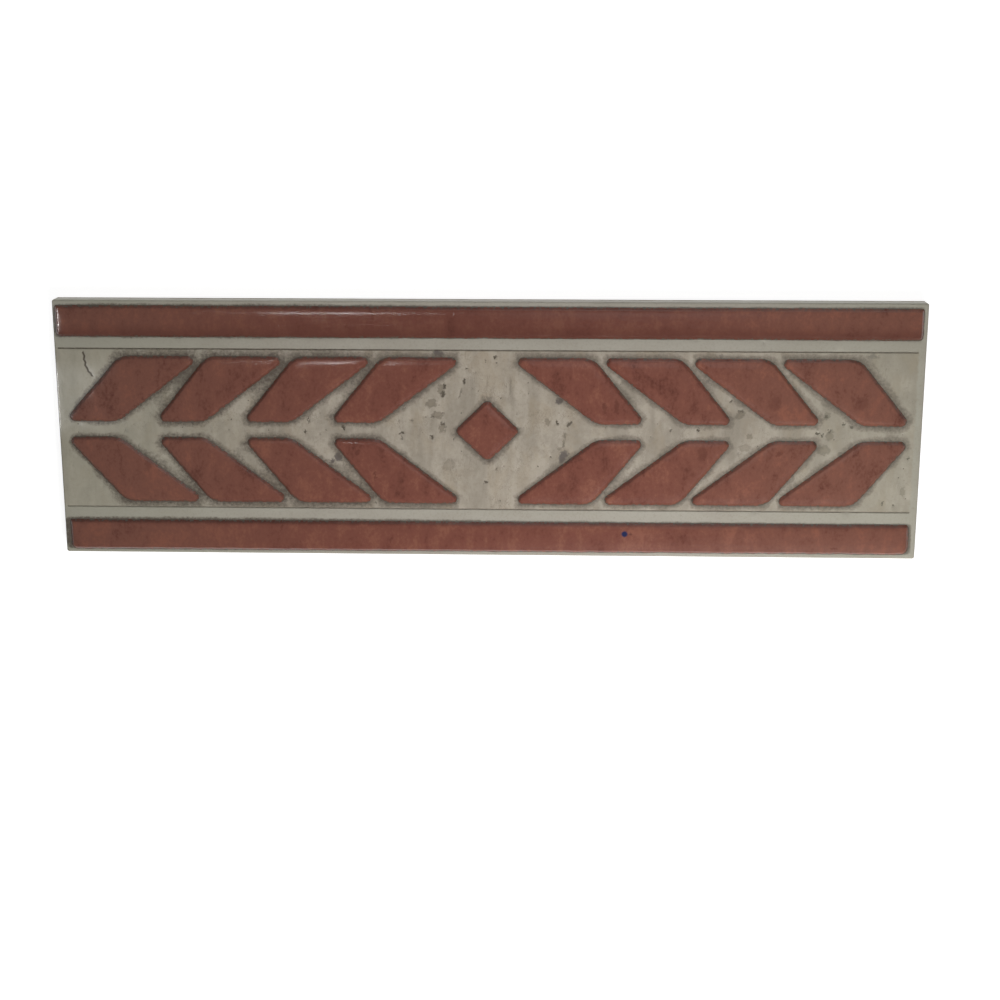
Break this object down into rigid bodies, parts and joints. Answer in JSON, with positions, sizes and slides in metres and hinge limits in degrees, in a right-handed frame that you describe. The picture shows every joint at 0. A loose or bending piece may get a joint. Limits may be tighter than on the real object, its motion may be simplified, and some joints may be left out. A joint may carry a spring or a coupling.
{
  "type": "border tile",
  "caption": "Long glazed ceramic border tile with raised terracotta edge bars and a raised leaf chevron about a centre diamond on a cream stone-look field, for tiling as a wall band.",
  "frame": {"origin": "centre of the back, on the plane that beds against the wall or floor", "axes": "+X along the tile's length, +Y across its width, +Z out of the decorated face"},
  "size_m": [0.333, 0.1, 0.0087],
  "materials": {
    "cream_glaze": "satin glaze printed as pitted cream travertine",
    "terracotta_glaze": "gloss glaze, mottled terracotta red, dark where it thins at the foot",
    "biscuit": "unglazed fired clay on the sides and back"
  },
  "bodies": {
    "root": {"border_tile": "cream_glaze"}
  },
  "joints": []
}
